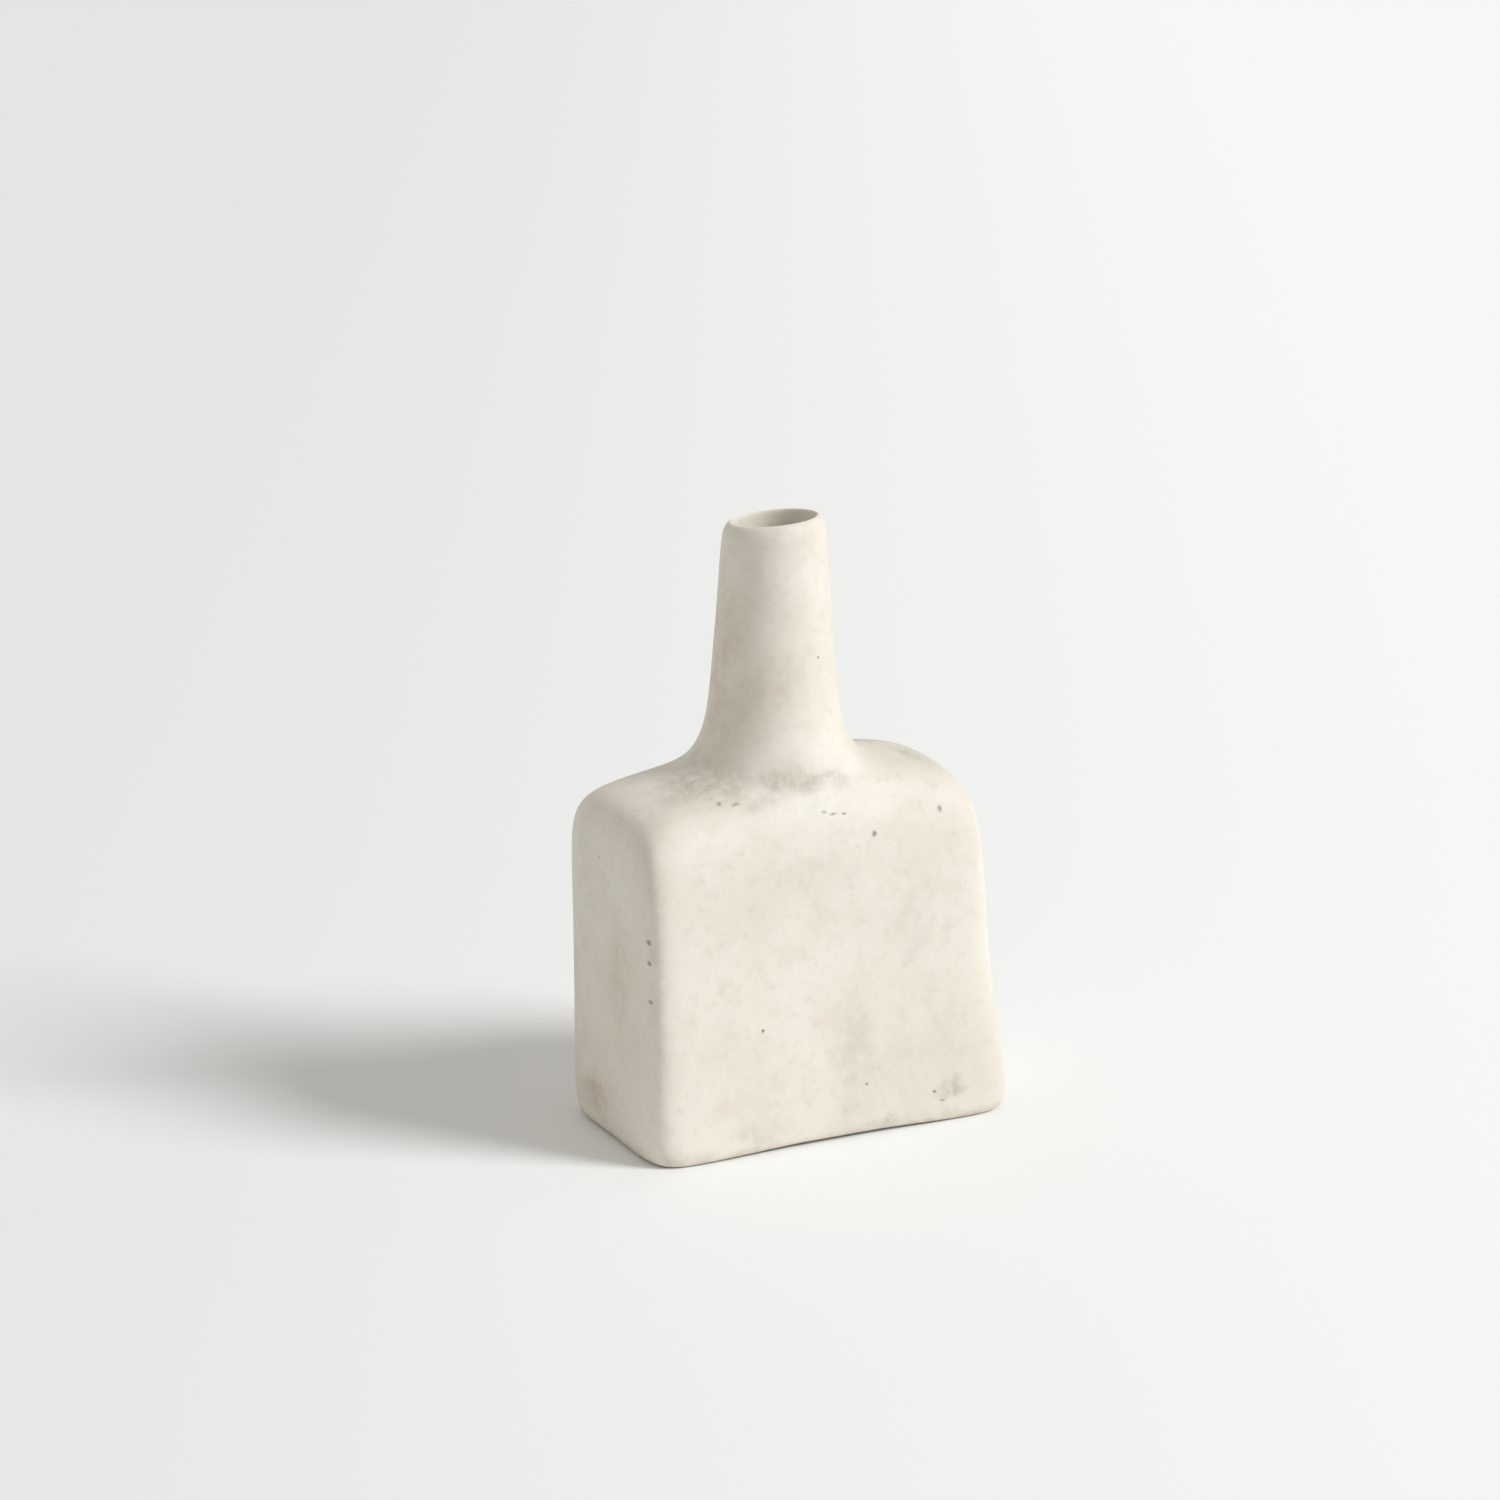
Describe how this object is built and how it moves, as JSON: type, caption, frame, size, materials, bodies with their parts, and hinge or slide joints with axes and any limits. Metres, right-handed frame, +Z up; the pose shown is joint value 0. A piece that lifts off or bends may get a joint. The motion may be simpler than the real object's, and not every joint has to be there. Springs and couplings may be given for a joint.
{
  "type": "bud vase",
  "caption": "Free-standing slab-built ceramic bud vase: flat rectangular bottle body, domed shoulder and tapering round neck, for one or a few stems.",
  "frame": {"origin": "on the table, under the middle of the vase's bounding box", "axes": "+X to the vase's flared end, along its long side; -Y out of the front wall; +Z up"},
  "size_m": [0.136, 0.0708, 0.2045],
  "materials": {
    "clay": "matte",
    "lining": "satin"
  },
  "bodies": {
    "root": {"floor_slab": "clay", "front_wall": "clay", "back_wall": "clay", "left_end_wall": "clay", "right_end_wall": "clay", "shoulder_slab": "clay", "neck": "clay", "liner_glaze": "lining"}
  },
  "joints": []
}
